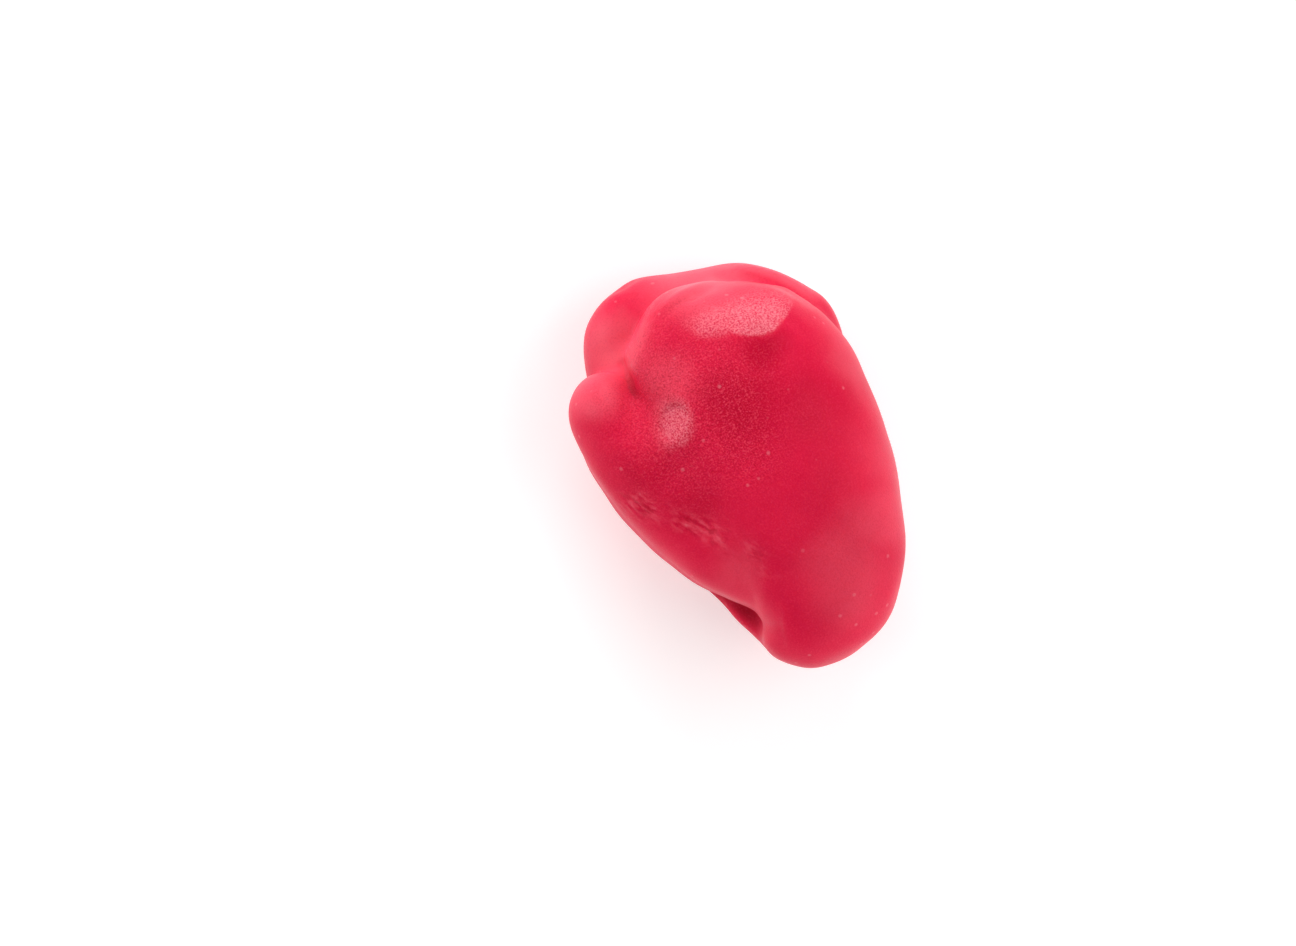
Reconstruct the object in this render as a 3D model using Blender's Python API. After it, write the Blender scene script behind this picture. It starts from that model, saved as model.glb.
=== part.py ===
"""A candied almond: one soft lump of folded crimson sugar paste, lying with its fold up.

Built in metres, Z up, resting on a small flat at z = 0. The long axis is Y and the open end of
the fold faces +Y. The shape is worked out in millimetres: a few rounded lobes run into one
another, marks are pressed into them, and the points of a subdivided cube are moved out onto the
skin that results and spread evenly over it.
"""

from typing import NamedTuple

import bmesh
import bpy
import numpy as np

NAME = "candied_almond"
METRES = 0.001

# The finished lump, in millimetres. Its height follows from the lobes.
WIDTH = 20.2
LENGTH = 30.0

# How the mesh is laid on the skin.
CUTS_PER_EDGE = 30
SPREAD = (10.0, 15.0, 7.8)
HEART = (-3.2, 0.6, 7.4)
FARTHEST = 20.0
NEAREST = 3.0
STEP = 0.25
HALVINGS = 22
EVENING_ROUNDS = 30


class Lobe(NamedTuple):
    """A rounded lobe: its outline from above, its widest level, and its reach up and down from there."""

    outline: tuple
    centre: tuple
    up: float
    down: float
    power: float


class Mark(NamedTuple):
    """A line of (x, y, strength) on the upper side, its width, and its depth: a rise where negative."""

    line: tuple
    width: float
    depth: float


class PressedFlat(NamedTuple):
    """A flat where the paste was pressed while soft: a point on it, its facing, its reach and its edge."""

    centre: tuple
    facing: tuple
    reach: float
    edge: float


UPPER_FOLD = Lobe(
    outline=(
        (-4.9, 9.6), (-2.7, 11.7), (0.3, 13.0), (4.0, 11.9), (7.4, 9.6), (9.3, 5.2), (9.25, 0.0),
        (8.05, -4.9), (5.8, -10.1), (2.8, -13.9), (-0.8, -14.95), (-3.4, -14.1), (-4.7, -12.2),
        (-5.3, -10.0), (-5.45, -8.5), (-5.9, -6.9), (-6.9, -4.0), (-6.8, 4.0),
    ),
    centre=(1.4, -0.8, 8.7),
    up=6.9,
    down=6.0,
    power=2.25,
)
LOWER_FOLD = Lobe(
    outline=(
        (-7.1, 10.4), (-5.0, 13.9), (-1.2, 15.3), (2.0, 13.9), (6.2, 12.05), (8.8, 9.0), (10.1, 5.85),
        (8.4, 0.5), (5.5, -8.0), (2.0, -12.0), (-1.5, -13.8), (-4.3, -13.8), (-5.7, -12.6), (-6.2, -11.2),
        (-6.8, -9.4), (-7.2, -7.6), (-7.9, -4.4), (-8.3, 1.0), (-8.0, 6.0),
    ),
    centre=(0.6, 0.5, 4.8),
    up=4.6,
    down=4.9,
    power=2.3,
)
MIDDLE = Lobe(
    outline=(
        (9.3, 3.5), (7.9, -5.0), (4.2, -12.0), (-0.65, -14.5), (-4.8, -12.9), (-4.5, -9.0), (-6.6, -0.5),
        (-6.2, 7.2), (-2.6, 11.1), (2.0, 11.6), (6.8, 9.2),
    ),
    centre=(0.8, -1.5, 7.6),
    up=7.4,
    down=7.6,
    power=2.4,
)

# The rolled lip on the left: a long egg, blunt ahead, whose ends sway to +X.
LIP_CENTRE = (-7.15, 5.5, 9.2)
LIP_HALF_WIDTH = 2.8
LIP_HALF_HEIGHT = 3.9
LIP_AHEAD = 5.35
LIP_BEHIND = 14.0
LIP_SWAY = 0.0135
LIP_POWER_AHEAD = 3.0
LIP_POWER_BEHIND = 2.4

# The tail of the lower fold, an ellipsoid that fills out the tip.
TAIL_CENTRE = (-3.6, -11.8, 7.0)
TAIL_RADII = (2.35, 2.0, 3.4)

MARKS = (
    # the crest that the large flat is pressed into
    Mark(
        ((2.2, 9.3, 0.4), (3.4, 8.4, 0.9), (4.6, 7.5, 1.0), (5.7, 7.1, 1.0), (6.7, 7.5, 0.9), (7.3, 8.4, 0.5)),
        width=1.4,
        depth=-0.40,
    ),
    # the dip and the rise on the left shoulder
    Mark(((-5.2, 8.2, 0.5), (-4.9, 7.2, 1.0), (-5.3, 6.2, 0.6)), 1.4, 0.28),
    Mark(((-4.6, 3.7, 0.6), (-3.6, 4.1, 1.0), (-2.6, 4.7, 1.0), (-1.8, 6.0, 0.5)), 1.2, -0.42),
    # the rise that bends from the large flat to the small one
    Mark(((0.9, 9.3, 0.3), (0.3, 8.0, 1.0), (-0.6, 6.8, 1.0), (-1.6, 6.0, 0.6)), 1.1, -0.22),
    # the border of the rolled edge, and the short crease beside the lip
    Mark(
        ((-8.9, 3.4, 0.2), (-8.3, 1.4, 0.8), (-6.6, -0.8, 1.0), (-5.0, -3.0, 1.0), (-3.0, -7.6, 0.2)),
        width=1.2,
        depth=0.25,
    ),
    Mark(((-4.3, 10.3, 1.0), (-4.4, 9.4, 1.0), (-4.65, 8.4, 0.8), (-4.6, 7.3, 0.2)), 0.4, 0.45),
)
FLATS = (
    PressedFlat(centre=(5.0, 8.4, 13.45), facing=(0.31, 0.51, 0.80), reach=3.2, edge=0.08),
    PressedFlat(centre=(-3.45, 4.9, 14.38), facing=(-0.44, 0.41, 0.80), reach=1.2, edge=0.06),
)
LOWER_FOLD_STEP = Mark(
    ((-7.4, -5.0, 0.3), (-6.6, -7.0, 0.8), (-5.9, -8.5, 1.0), (-5.6, -9.5, 0.7), (-5.7, -10.3, 0.0)),
    width=0.7,
    depth=0.7,
)
LOWER_FOLD_VALLEY = Mark(((-0.9, 15.2, 0.0), (-1.4, 14.0, 0.7), (-2.6, 11.6, 1.0)), 1.3, 0.8)

CRIMSON = (0.62, 0.035, 0.085, 1.0)
ROUGHNESS = 0.5


def smoothstep(start, end, value):
    """0 up to start, 1 past end, and an even change between them."""
    t = np.clip((value - start) / (end - start), 0.0, 1.0)
    return t * t * (3.0 - 2.0 * t)


def smooth_min(a, b, blend):
    """The nearer of two skins, run together over the blend width."""
    h = np.clip(0.5 + 0.5 * (b - a) / blend, 0.0, 1.0)
    return b + (a - b) * h - blend * h * (1.0 - h)


def smooth_max(a, b, blend):
    """The farther of two skins, with a rounded edge where they meet."""
    return -smooth_min(-a, -b, blend)


def distance(away, level):
    """Signed distance, near enough, where level is 1 on a skin about the centre that away starts from."""
    return np.linalg.norm(away, axis=1) * (1.0 - 1.0 / np.maximum(level, 1e-6))


def curve_through(rows, count, closed=False):
    """Evenly numbered points on a smooth curve through the rows, which runs on to its start if closed."""
    rows = np.array(rows, float)
    if closed:
        rows = np.vstack([rows[-1], rows, rows[:2]])
    else:
        rows = np.vstack([2 * rows[0] - rows[1], rows, 2 * rows[-1] - rows[-2]])
    place = np.linspace(0.0, len(rows) - 3 - 1e-9, count)
    start = place.astype(int)
    t = (place - start)[:, None]
    a, b, c, d = (rows[start + shift] for shift in range(4))
    return 0.5 * (2 * b + (c - a) * t + (2 * a - 5 * b + 4 * c - d) * t**2 + (3 * b - a - 3 * c + d) * t**3)


class LobeSkin:
    """A lobe's skin, with the outline's radius worked out once by angle."""

    ANGLES = 720
    BROAD_WAVES = 3

    def __init__(self, lobe):
        self.lobe = lobe
        points = np.array(lobe.outline) - np.array(lobe.centre[:2])
        ring = curve_through(points, 40 * len(points), closed=True)
        angle = np.arctan2(ring[:, 1], ring[:, 0])
        self.grid = np.linspace(-np.pi, np.pi, self.ANGLES + 1)
        self.exact = np.interp(self.grid, angle, np.linalg.norm(ring, axis=1), period=2 * np.pi)
        waves = np.fft.rfft(self.exact[:-1])
        waves[self.BROAD_WAVES :] = 0.0
        self.broad = np.append(np.fft.irfft(waves, self.ANGLES), 0.0)
        self.broad[-1] = self.broad[0]

    def at(self, points):
        """Signed distance from the skin: the outline is exact at the widest level and broad inside it."""
        away = points - np.array(self.lobe.centre)
        flat = np.hypot(away[:, 0], away[:, 1])
        angle = np.arctan2(away[:, 1], away[:, 0])
        exact = np.interp(angle, self.grid, self.exact)
        broad = np.interp(angle, self.grid, self.broad)
        reach = broad + (exact - broad) * smoothstep(0.5, 1.0, flat / exact)
        height = np.where(away[:, 2] > 0.0, self.lobe.up, self.lobe.down)
        power = self.lobe.power
        level = ((flat / reach) ** power + (np.abs(away[:, 2]) / height) ** power) ** (1.0 / power)
        return distance(away, level)


def lip_skin(points):
    """Signed distance from the rolled lip."""
    away = points - np.array(LIP_CENTRE)
    front = away[:, 1] > 0.0
    x = (away[:, 0] - LIP_SWAY * away[:, 1] ** 2) / LIP_HALF_WIDTH
    y = np.abs(away[:, 1]) / np.where(front, LIP_AHEAD, LIP_BEHIND)
    z = away[:, 2] / LIP_HALF_HEIGHT
    power = np.where(front, LIP_POWER_AHEAD, LIP_POWER_BEHIND)
    return distance(away, np.sqrt(x**2 + z**2 + y**power))


def tail_skin(points):
    """Signed distance from the tail."""
    away = points - np.array(TAIL_CENTRE)
    return distance(away, np.linalg.norm(away / np.array(TAIL_RADII), axis=1))


def pressed_in(points, mark):
    """How deep a mark is at each point, whatever the point's height."""
    knots = curve_through(mark.line, 14)
    found = np.zeros(len(points))
    for start, end in zip(knots[:-1], knots[1:]):
        along = end[:2] - start[:2]
        away = points[:, :2] - start[:2]
        t = np.clip(away @ along / (along @ along), 0.0, 1.0)
        gap = away - t[:, None] * along
        strength = start[2] + (end[2] - start[2]) * t
        found = np.maximum(found, strength * np.exp(-(gap**2).sum(axis=1) / mark.width**2))
    return mark.depth * found


def cut_flat(body, points, flat):
    """The body with a flat pressed into it, turning away beyond the flat's reach."""
    facing = np.array(flat.facing) / np.linalg.norm(flat.facing)
    away = points - np.array(flat.centre)
    beyond = np.maximum(np.linalg.norm(away, axis=1) - flat.reach, 0.0)
    return smooth_max(body, away @ facing - 0.8 * beyond, flat.edge)


def bent(points):
    """The points with the fold's middle level made wavy."""
    x, y, z = points.T
    wave = 0.6 * np.sin(0.42 * x + 0.16 * y + 0.4) + 0.4 * np.sin(0.31 * y - 0.9)
    middle = smoothstep(0.5, 4.5, z) * smoothstep(14.5, 9.5, z)
    return np.column_stack([x, y, z - wave * middle])


def lumps(points):
    """The slight unevenness of hand-worked paste."""
    x, y, z = points.T
    broad = np.sin(0.55 * x + 0.30 * y + 0.8) * np.sin(0.41 * y - 0.50 * z + 2.0)
    small = np.sin(1.10 * x - 0.70 * y + 0.60 * z) * np.sin(0.90 * y + 0.80 * z + 1.0)
    return 0.10 * broad + 0.05 * small


class Candy:
    """The whole lump as one skin, in millimetres."""

    def __init__(self):
        self.upper = LobeSkin(UPPER_FOLD)
        self.lower = LobeSkin(LOWER_FOLD)
        self.middle = LobeSkin(MIDDLE)

    def folds(self, points):
        """The upper fold with its lip, the lower fold with its valleys and tail, and the joining mass."""
        warped = bent(points)
        x, y, z = points.T
        beside = smoothstep(9.6, 5.0, y) * smoothstep(-12.5, -4.0, y)
        run_in = 0.3 + 3.6 * beside + 1.8 * smoothstep(10.0, 8.2, z)
        left = smoothstep(-2.5, -5.5, x) * smoothstep(-6.5, -3.0, y)
        rear = smoothstep(3.0, 6.0, x) * smoothstep(2.0, 6.0, y)
        crease = 0.5 + 1.2 * left + 0.7 * rear + 2.4 * smoothstep(-9.2, -11.5, y)
        upper = smooth_min(self.upper.at(warped), lip_skin(warped), run_in)
        valleys = pressed_in(points, LOWER_FOLD_VALLEY) + pressed_in(points, LOWER_FOLD_STEP)
        lower = self.lower.at(warped) + valleys * smoothstep(3.5, 5.5, z)
        lower = smooth_min(lower, tail_skin(warped), 0.9)
        return smooth_min(smooth_min(upper, lower, crease), self.middle.at(warped), 0.8)

    def skin(self, points):
        """Signed distance from the folds with their unevenness, their marks and the pressed flats."""
        body = self.folds(points) + lumps(points)
        top = smoothstep(7.5, 9.5, points[:, 2])
        body = body + top * sum(pressed_in(points, mark) for mark in MARKS)
        for flat in FLATS:
            body = cut_flat(body, points, flat)
        return body

    def outermost(self, directions):
        """Where each direction from the heart meets the skin, coming in from outside."""
        heart = np.array(HEART)
        far = np.full(len(directions), FARTHEST)
        outside = np.ones(len(directions), bool)
        while outside.any() and far.max() > NEAREST:
            outside &= self.skin(heart + directions * (far - STEP)[:, None]) > 0.0
            far = np.where(outside, far - STEP, far)
        near = far - STEP
        for _ in range(HALVINGS):
            half = 0.5 * (near + far)
            inside = self.skin(heart + directions * half[:, None]) < 0.0
            near = np.where(inside, half, near)
            far = np.where(inside, far, half)
        return heart + directions * near[:, None]

    def settled(self, points):
        """The points moved straight onto the skin nearest them."""
        reach = 0.02
        for _ in range(3):
            sides = [self.skin(points + axis) - self.skin(points - axis) for axis in reach * np.eye(3)]
            slope = np.column_stack(sides) / (2.0 * reach)
            size = np.maximum((slope**2).sum(axis=1), 0.2)
            points = points - np.clip(self.skin(points) / size, -0.5, 0.5)[:, None] * slope
        return points

    def evened(self, points, edges):
        """The points spread evenly over the skin, so that the creases are cut clean."""
        count = np.bincount(edges.ravel(), minlength=len(points))[:, None]
        for _ in range(EVENING_ROUNDS):
            total = np.zeros_like(points)
            for start, end in (edges.T, edges.T[::-1]):
                for axis in range(3):
                    total[:, axis] += np.bincount(start, points[end, axis], minlength=len(points))
            points = self.settled(0.5 * (points + total / count))
        return points


def clear_scene():
    """Removes whatever the scene holds."""
    for obj in list(bpy.data.objects):
        bpy.data.objects.remove(obj, do_unlink=True)


def sugar_paste():
    """The material: crimson paste, matt and a little waxy."""
    material = bpy.data.materials.new("sugar_paste")
    material.use_nodes = True
    shader = material.node_tree.nodes["Principled BSDF"]
    shader.inputs["Base Color"].default_value = CRIMSON
    shader.inputs["Roughness"].default_value = ROUGHNESS
    return material


def cube_directions(corners):
    """Directions through a cube's points, spread to suit the lump's length, width and height."""
    even = np.tan(corners * np.pi / 4.0) * np.array(SPREAD)
    return even / np.linalg.norm(even, axis=1, keepdims=True)


def points_on_candy(corners, edges):
    """Where the cube's points come to lie, in millimetres: on the skin, flat below, and true to size."""
    candy = Candy()
    points = candy.evened(candy.outermost(cube_directions(corners)), edges)
    points[:, 2] = np.maximum(points[:, 2], 0.0)
    low, high = points.min(axis=0)[:2], points.max(axis=0)[:2]
    points[:, :2] = (points[:, :2] - 0.5 * (low + high)) * np.array((WIDTH, LENGTH)) / (high - low)
    return points


def build_candy():
    """One closed body: a subdivided cube whose points are moved onto the candy's skin."""
    shape = bmesh.new()
    bmesh.ops.create_cube(shape, size=2.0)
    bmesh.ops.subdivide_edges(shape, edges=shape.edges[:], cuts=CUTS_PER_EDGE, use_grid_fill=True)
    shape.verts.index_update()
    corners = np.array([vertex.co[:] for vertex in shape.verts])
    edges = np.array([[vertex.index for vertex in edge.verts] for edge in shape.edges])
    for vertex, place in zip(shape.verts, points_on_candy(corners, edges)):
        vertex.co = place * METRES
    bmesh.ops.triangulate(shape, faces=shape.faces[:], quad_method="SHORT_EDGE")
    bmesh.ops.recalc_face_normals(shape, faces=shape.faces[:])
    mesh = bpy.data.meshes.new(NAME)
    shape.to_mesh(mesh)
    shape.free()
    mesh.shade_smooth()
    mesh.materials.append(sugar_paste())
    return bpy.data.objects.new(NAME, mesh)


def main():
    clear_scene()
    collection = bpy.data.collections.new(NAME)
    bpy.context.scene.collection.children.link(collection)
    collection.objects.link(build_candy())


main()
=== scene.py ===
"""The looks of a candied almond: one soft lump of folded crimson sugar paste on a pale table.

The lump is worked out again from its lobes, as in its solid, with four times the points along
every edge, and then carries the small marks of the hand that the solid leaves out. Shape sizes
are in millimetres until the mesh is made; finishes, lights and the camera are in metres.
"""

import logging
import math
from dataclasses import dataclass, field
from enum import Enum
from functools import cached_property

import bmesh
import bpy
import numpy as np
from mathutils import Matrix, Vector

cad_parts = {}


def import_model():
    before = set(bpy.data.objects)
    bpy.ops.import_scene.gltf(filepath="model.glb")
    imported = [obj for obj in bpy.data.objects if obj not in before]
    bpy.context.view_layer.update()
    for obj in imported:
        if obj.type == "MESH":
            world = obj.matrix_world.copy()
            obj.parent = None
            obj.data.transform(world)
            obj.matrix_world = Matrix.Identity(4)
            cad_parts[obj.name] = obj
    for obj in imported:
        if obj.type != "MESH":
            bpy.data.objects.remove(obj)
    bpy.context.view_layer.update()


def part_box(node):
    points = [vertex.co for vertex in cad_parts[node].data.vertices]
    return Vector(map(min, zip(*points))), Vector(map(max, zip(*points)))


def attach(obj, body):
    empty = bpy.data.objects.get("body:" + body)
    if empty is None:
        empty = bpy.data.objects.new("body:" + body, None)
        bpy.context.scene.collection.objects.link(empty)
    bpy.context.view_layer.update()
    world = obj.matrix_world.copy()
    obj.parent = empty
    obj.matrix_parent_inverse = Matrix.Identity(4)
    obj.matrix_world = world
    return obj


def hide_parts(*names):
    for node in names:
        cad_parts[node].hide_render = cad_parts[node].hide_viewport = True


log = logging.getLogger("candied_almond")

NODE = "candied_almond"
BODY = "root"
METRES = 0.001

Point2 = tuple[float, float]
Point3 = tuple[float, float, float]
Point4 = tuple[float, float, float, float]
Colour = tuple[float, float, float, float]
Socket = bpy.types.NodeSocket

WHITE: Colour = (1.0, 1.0, 1.0, 1.0)


class SkinMask(Enum):
    """The masks over the skin that its finish reads."""

    # painted light in patches where the lamps fall, and painted highlights on small rises
    PAINTED_LIGHT = "bloom"
    # painted shade, in patches where less light falls
    PAINTED_SHADE = "damp"
    # where shade is painted in the creases under the rolled edge and beside the lip
    PAINTED_CREASE_SHADE = "crease"
    # the patches pressed smooth, where highlights are painted
    PRESSED_AND_HIGHLIGHT = "pressed"
    GRAIN = "grain"
    BORDER = "border"


class Operation(Enum):
    """The ways to put two values together in a finish."""

    ADD = "ADD"
    MULTIPLY = "MULTIPLY"


# ---------------------------------------------------------------- shape functions

# odd multipliers and a mask that scatter the numbers of a grid's corners
SCATTER_X = 73856093
SCATTER_Y = 19349663
SCATTER_Z = 83492791
SCATTER_SEED = 2654435761
SCATTER_AGAIN = 1274126177
SCATTER_MASK = 0x7FFFFFFF
SCATTER_MIDDLE = 0x3FFFFFFF

# moves every point to corners with positive numbers
NOISE_ORIGIN = 1000.0
# the least level that a distance is worked out from
LEAST_LEVEL = 1e-6
# keeps the last place on a curve inside its last piece
SLIVER = 1e-9


def smoothstep(start: float, end: float, value: np.ndarray) -> np.ndarray:
    """0 up to start, 1 past end, and an even change between them."""
    share = np.clip((value - start) / (end - start), 0.0, 1.0)
    return share * share * (3.0 - 2.0 * share)


def smooth_min(first: np.ndarray, second: np.ndarray, blend: np.ndarray | float) -> np.ndarray:
    """The nearer of two skins, run together over the blend width."""
    share = np.clip(0.5 + 0.5 * (second - first) / blend, 0.0, 1.0)
    return second + (first - second) * share - blend * share * (1.0 - share)


def smooth_max(first: np.ndarray, second: np.ndarray, blend: float) -> np.ndarray:
    """The farther of two skins, with a rounded edge where they meet."""
    return -smooth_min(-first, -second, blend)


def distance(away: np.ndarray, level: np.ndarray) -> np.ndarray:
    """Signed distance, near enough, from the skin about a centre on which the level is 1."""
    return np.linalg.norm(away, axis=1) * (1.0 - 1.0 / np.maximum(level, LEAST_LEVEL))


def curve_through(rows: np.ndarray, count: int, closed: bool = False) -> np.ndarray:
    """Evenly numbered points on a smooth curve.

    Args:
        rows: The points that the curve passes, one a row.
        count: How many points to return.
        closed: Whether the curve runs on from its last point to its first.

    Returns:
        The points on the curve, one a row.
    """
    rows = np.array(rows, float)
    if closed:
        rows = np.vstack([rows[-1], rows, rows[:2]])
    else:
        rows = np.vstack([2 * rows[0] - rows[1], rows, 2 * rows[-1] - rows[-2]])
    place = np.linspace(0.0, len(rows) - 3 - SLIVER, count)
    start = place.astype(int)
    share = (place - start)[:, None]
    before, near, far, after = (rows[start + shift] for shift in range(4))
    square = 2 * before - 5 * near + 4 * far - after
    cube = 3 * near - before - 3 * far + after
    return 0.5 * (2 * near + (far - before) * share + square * share**2 + cube * share**3)


def noise(points: np.ndarray, cell: float, seed: int) -> np.ndarray:
    """Smooth random bumps, the same on every run.

    Args:
        points: Places in millimetres.
        cell: Distance between bumps.
        seed: Chooses one field of bumps.

    Returns:
        A value from -1 to 1 for each point.
    """
    place = points / cell + NOISE_ORIGIN
    corner = np.floor(place).astype(np.int64)
    part = place - corner
    part = part * part * (3.0 - 2.0 * part)
    total = np.zeros(len(points))
    for shift in np.ndindex(2, 2, 2):
        x, y, z = (corner + np.array(shift)).T
        mixed = (x * SCATTER_X) ^ (y * SCATTER_Y) ^ (z * SCATTER_Z) ^ (seed * SCATTER_SEED)
        mixed = (mixed ^ (mixed >> 13)) * SCATTER_AGAIN & SCATTER_MASK
        weight = np.prod(np.where(np.array(shift) == 1, part, 1.0 - part), axis=1)
        total += weight * (mixed / SCATTER_MIDDLE - 1.0)
    return total


@dataclass(frozen=True)
class Bumps:
    """A field of random bumps: their height, the distance between them, and the number of the field."""

    height: float
    cell: float
    seed: int

    def at(self, points: np.ndarray) -> np.ndarray:
        """The height of the bumps at each point."""
        return self.height * noise(points, self.cell, self.seed)


@dataclass(frozen=True)
class Wave:
    """A wave through space: how fast it turns along X, Y and Z, in radians a millimetre, and its start."""

    rates: Point3
    start: float

    def at(self, points: np.ndarray) -> np.ndarray:
        """The wave at each point, from -1 to 1."""
        x, y, z = points.T
        return np.sin(self.rates[0] * x + self.rates[1] * y + self.rates[2] * z + self.start)


# ---------------------------------------------------------------- the lump


@dataclass(frozen=True)
class Lobe:
    """A rounded lobe: its outline from above, its widest level, and its reach up and down from there."""

    outline: tuple[Point2, ...]
    centre: Point3
    up: float
    down: float
    power: float
    angles: int = 720
    ring_points: int = 40
    broad_waves: int = 3
    broad_within: float = 0.5

    @cached_property
    def radii(self) -> tuple[np.ndarray, np.ndarray, np.ndarray]:
        """The outline as seen from the centre.

        Returns:
            Angles, the outline's radius at each, and the radius of its broad form.
        """
        points = np.array(self.outline) - np.array(self.centre[:2])
        ring = curve_through(points, self.ring_points * len(points), closed=True)
        angle = np.arctan2(ring[:, 1], ring[:, 0])
        grid = np.linspace(-np.pi, np.pi, self.angles + 1)
        exact = np.interp(grid, angle, np.linalg.norm(ring, axis=1), period=2 * np.pi)
        waves = np.fft.rfft(exact[:-1])
        waves[self.broad_waves :] = 0.0
        broad = np.fft.irfft(waves, self.angles)
        return grid, exact, np.append(broad, broad[0])

    def skin(self, points: np.ndarray) -> np.ndarray:
        """The lobe's skin: the outline is exact at the widest level, and broad well inside it.

        Args:
            points: Places in millimetres.

        Returns:
            Signed distance from the skin for each point.
        """
        away = points - np.array(self.centre)
        flat = np.hypot(away[:, 0], away[:, 1])
        angle = np.arctan2(away[:, 1], away[:, 0])
        grid, exact, broad = self.radii
        exact = np.interp(angle, grid, exact)
        broad = np.interp(angle, grid, broad)
        reach = broad + (exact - broad) * smoothstep(self.broad_within, 1.0, flat / exact)
        height = np.where(away[:, 2] > 0.0, self.up, self.down)
        level = (flat / reach) ** self.power + (np.abs(away[:, 2]) / height) ** self.power
        return distance(away, level ** (1.0 / self.power))


@dataclass(frozen=True)
class Tail:
    """The tail of the lower fold, an ellipsoid that fills out the tip."""

    centre: Point3 = (-3.6, -11.8, 7.0)
    radii: Point3 = (2.35, 2.0, 3.4)

    def skin(self, points: np.ndarray) -> np.ndarray:
        """Signed distance from the tail."""
        away = points - np.array(self.centre)
        return distance(away, np.linalg.norm(away / np.array(self.radii), axis=1))


@dataclass(frozen=True)
class Lip:
    """The rolled lip on the left: a long egg, blunt ahead, whose ends sway to +X."""

    centre: Point3 = (-7.15, 5.5, 9.2)
    half_width: float = 2.8
    half_height: float = 3.9
    ahead: float = 5.35
    behind: float = 14.0
    sway: float = 0.0135
    power_ahead: float = 3.0
    power_behind: float = 2.4

    def skin(self, points: np.ndarray) -> np.ndarray:
        """The lip's skin.

        Args:
            points: Places in millimetres.

        Returns:
            Signed distance from the skin for each point.
        """
        away = points - np.array(self.centre)
        front = away[:, 1] > 0.0
        x = (away[:, 0] - self.sway * away[:, 1] ** 2) / self.half_width
        y = np.abs(away[:, 1]) / np.where(front, self.ahead, self.behind)
        z = away[:, 2] / self.half_height
        power = np.where(front, self.power_ahead, self.power_behind)
        return distance(away, np.sqrt(x**2 + z**2 + y**power))


@dataclass(frozen=True)
class Mark:
    """A line of (x, y, strength) seen from above, its width, and its depth: a rise where negative."""

    line: tuple[Point3, ...]
    width: float
    depth: float
    knots: int = 14
    reach: float = 3.0

    def at(self, points: np.ndarray) -> np.ndarray:
        """How deep the mark is, whatever a point's height.

        Args:
            points: Places in millimetres.

        Returns:
            The depth for each point.
        """
        knots = curve_through(self.line, self.knots)
        low = knots[:, :2].min(axis=0) - self.reach * self.width
        high = knots[:, :2].max(axis=0) + self.reach * self.width
        near = np.all((points[:, :2] > low) & (points[:, :2] < high), axis=1)
        places = points[near, :2]
        found = np.zeros(len(places))
        for start, end in zip(knots[:-1], knots[1:]):
            along = end[:2] - start[:2]
            away = places - start[:2]
            share = np.clip(away @ along / (along @ along), 0.0, 1.0)
            gap = away - share[:, None] * along
            strength = start[2] + (end[2] - start[2]) * share
            found = np.maximum(found, strength * np.exp(-(gap**2).sum(axis=1) / self.width**2))
        depth = np.zeros(len(points))
        depth[near] = self.depth * found
        return depth


@dataclass(frozen=True)
class PressedFlat:
    """A flat where the paste was pressed while it was soft."""

    centre: Point3
    facing: Point3
    reach: float
    edge: float
    turn_away: float = 0.8

    def cut(self, body: np.ndarray, points: np.ndarray) -> np.ndarray:
        """Presses the flat into the body; it turns away beyond its reach.

        Args:
            body: Signed distance from the body for each point.
            points: The same points, in millimetres.

        Returns:
            Signed distance from the pressed body for each point.
        """
        facing = np.array(self.facing) / np.linalg.norm(self.facing)
        away = points - np.array(self.centre)
        beyond = np.maximum(np.linalg.norm(away, axis=1) - self.reach, 0.0)
        return smooth_max(body, away @ facing - self.turn_away * beyond, self.edge)


UPPER_FOLD = Lobe(
    outline=(
        (-4.9, 9.6), (-2.7, 11.7), (0.3, 13.0), (4.0, 11.9), (7.4, 9.6), (9.3, 5.2), (9.25, 0.0),
        (8.05, -4.9), (5.8, -10.1), (2.8, -13.9), (-0.8, -14.95), (-3.4, -14.1), (-4.7, -12.2),
        (-5.3, -10.0), (-5.45, -8.5), (-5.9, -6.9), (-6.9, -4.0), (-6.8, 4.0),
    ),
    centre=(1.4, -0.8, 8.7),
    up=6.9,
    down=6.0,
    power=2.25,
)
LOWER_FOLD = Lobe(
    outline=(
        (-7.1, 10.4), (-5.0, 13.9), (-1.2, 15.3), (2.0, 13.9), (6.2, 12.05), (8.8, 9.0), (10.1, 5.85),
        (8.4, 0.5), (5.5, -8.0), (2.0, -12.0), (-1.5, -13.8), (-4.3, -13.8), (-5.7, -12.6), (-6.2, -11.2),
        (-6.8, -9.4), (-7.2, -7.6), (-7.9, -4.4), (-8.3, 1.0), (-8.0, 6.0),
    ),
    centre=(0.6, 0.5, 4.8),
    up=4.6,
    down=4.9,
    power=2.3,
)
MIDDLE = Lobe(
    outline=(
        (9.3, 3.5), (7.9, -5.0), (4.2, -12.0), (-0.65, -14.5), (-4.8, -12.9), (-4.5, -9.0), (-6.6, -0.5),
        (-6.2, 7.2), (-2.6, 11.1), (2.0, 11.6), (6.8, 9.2),
    ),
    centre=(0.8, -1.5, 7.6),
    up=7.4,
    down=7.6,
    power=2.4,
)
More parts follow.
